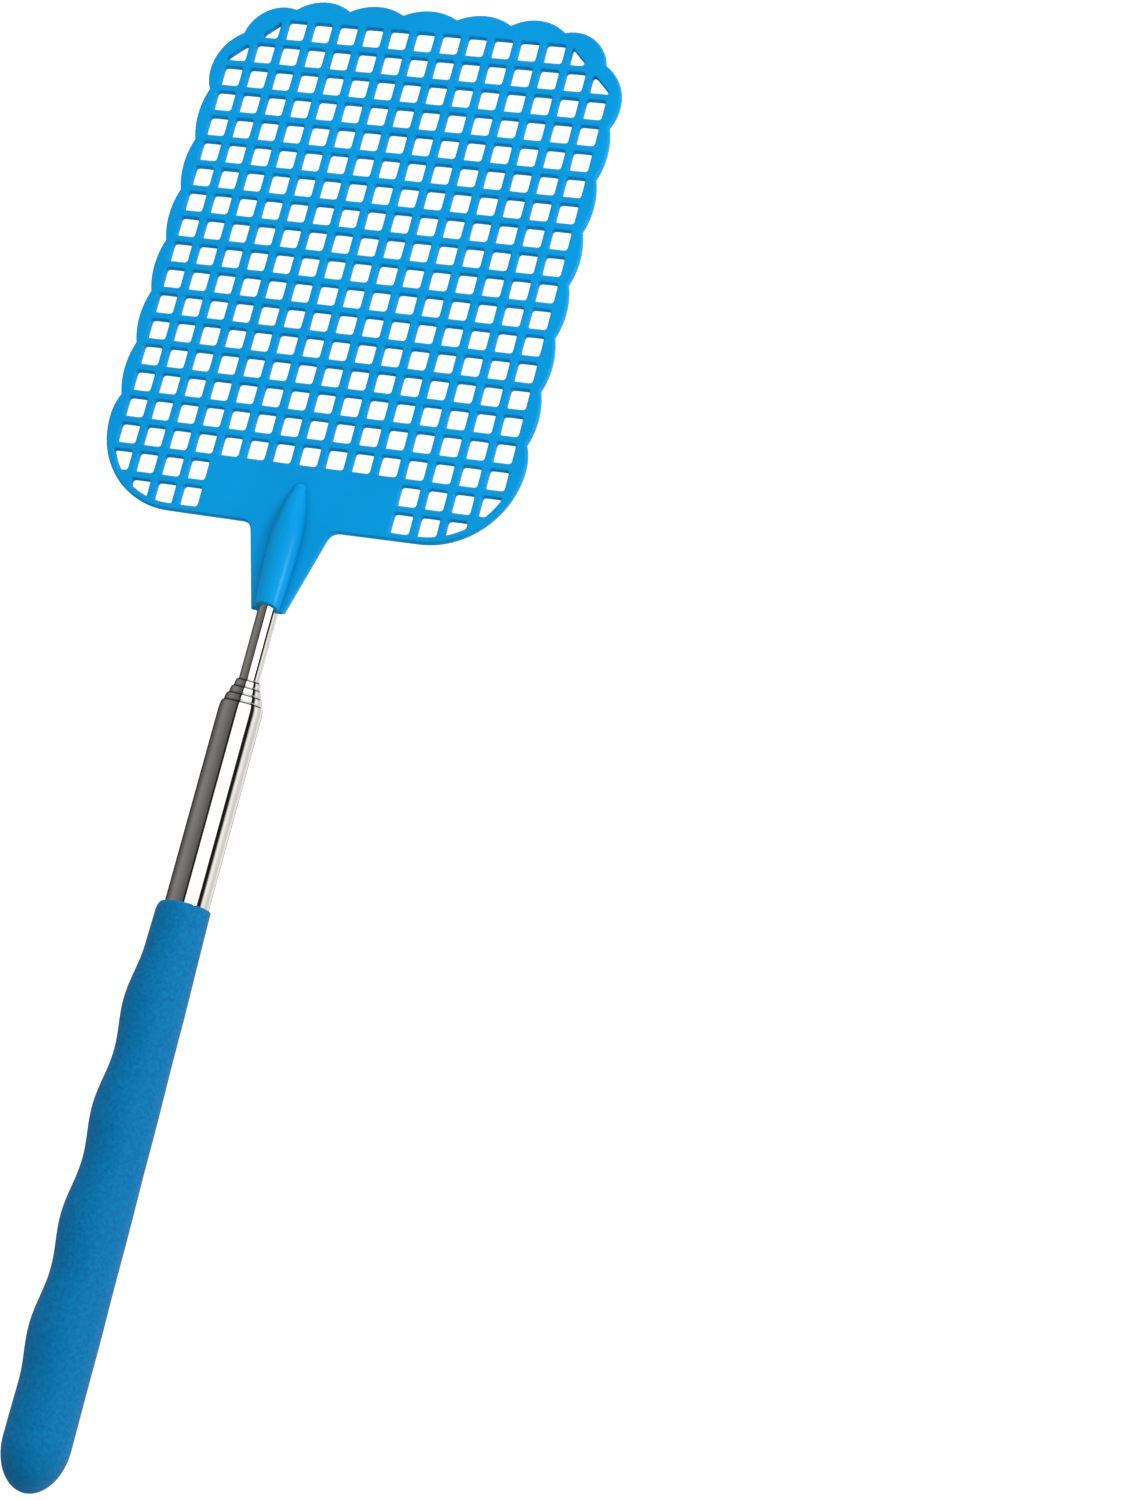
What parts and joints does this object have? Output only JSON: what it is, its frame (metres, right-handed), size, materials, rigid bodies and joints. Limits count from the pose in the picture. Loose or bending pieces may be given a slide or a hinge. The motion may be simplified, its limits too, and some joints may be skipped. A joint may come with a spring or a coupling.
{
  "type": "fly swatter",
  "caption": "Pocket fly swatter: a scalloped square-mesh plastic head on a telescopic chromed tube that slides out of a waved finger grip.",
  "frame": {"origin": "under the middle of the closed swatter's length and width, level with the grip's lowest line", "axes": "+Y from the butt of the grip to the far end of the head, +X to the right of the striking face, +Z out of the striking face"},
  "size_m": [0.0814, 0.2759, 0.0124],
  "materials": {
    "head_plastic": "satin moulded",
    "grip_rubber": "matt, fine leathery grain",
    "chromed_tube": "polished",
    "brass_bushing": "turned",
    "bronze_spring": "rolled sheet",
    "dark_plastic": "moulded"
  },
  "bodies": {
    "handle": {"grip": "grip_rubber", "section_1": "chromed_tube", "end_plug": "dark_plastic"},
    "springs_2": {"spring_2_lower": "bronze_spring", "spring_2_upper": "bronze_spring"},
    "tube_2": {"section_2": "chromed_tube", "bushing_2": "brass_bushing"},
    "springs_3": {"spring_3_lower": "bronze_spring", "spring_3_upper": "bronze_spring"},
    "tube_3": {"section_3": "chromed_tube", "bushing_3": "brass_bushing"},
    "springs_4": {"spring_4_lower": "bronze_spring", "spring_4_upper": "bronze_spring"},
    "tube_4": {"section_4": "chromed_tube", "bushing_4": "brass_bushing"},
    "springs_5": {"spring_5_lower": "bronze_spring", "spring_5_upper": "bronze_spring"},
    "tube_5": {"section_5": "chromed_tube", "bushing_5": "brass_bushing", "head": "head_plastic"}
  },
  "joints": [
    {"name": "section_2_slide", "type": "slide", "parent": "handle", "child": "springs_2", "axis": [0, 1, 0], "range_m": [0, 0.1194]},
    {"name": "section_2_swivel", "type": "hinge", "parent": "springs_2", "child": "tube_2", "pos_m": [0, -0.11602, 0.00618], "axis": [0, 1, 0], "continuous": true},
    {"name": "section_3_slide", "type": "slide", "parent": "tube_2", "child": "springs_3", "axis": [0, 1, 0], "range_m": [0, 0.1133]},
    {"name": "section_3_swivel", "type": "hinge", "parent": "springs_3", "child": "tube_3", "pos_m": [0, -0.11602, 0.00618], "axis": [0, 1, 0], "continuous": true},
    {"name": "section_4_slide", "type": "slide", "parent": "tube_3", "child": "springs_4", "axis": [0, 1, 0], "range_m": [0, 0.10645]},
    {"name": "section_4_swivel", "type": "hinge", "parent": "springs_4", "child": "tube_4", "pos_m": [0, -0.11602, 0.00618], "axis": [0, 1, 0], "continuous": true},
    {"name": "section_5_slide", "type": "slide", "parent": "tube_4", "child": "springs_5", "axis": [0, 1, 0], "range_m": [0, 0.0996]},
    {"name": "section_5_swivel", "type": "hinge", "parent": "springs_5", "child": "tube_5", "pos_m": [0, -0.11602, 0.00618], "axis": [0, 1, 0], "continuous": true}
  ]
}
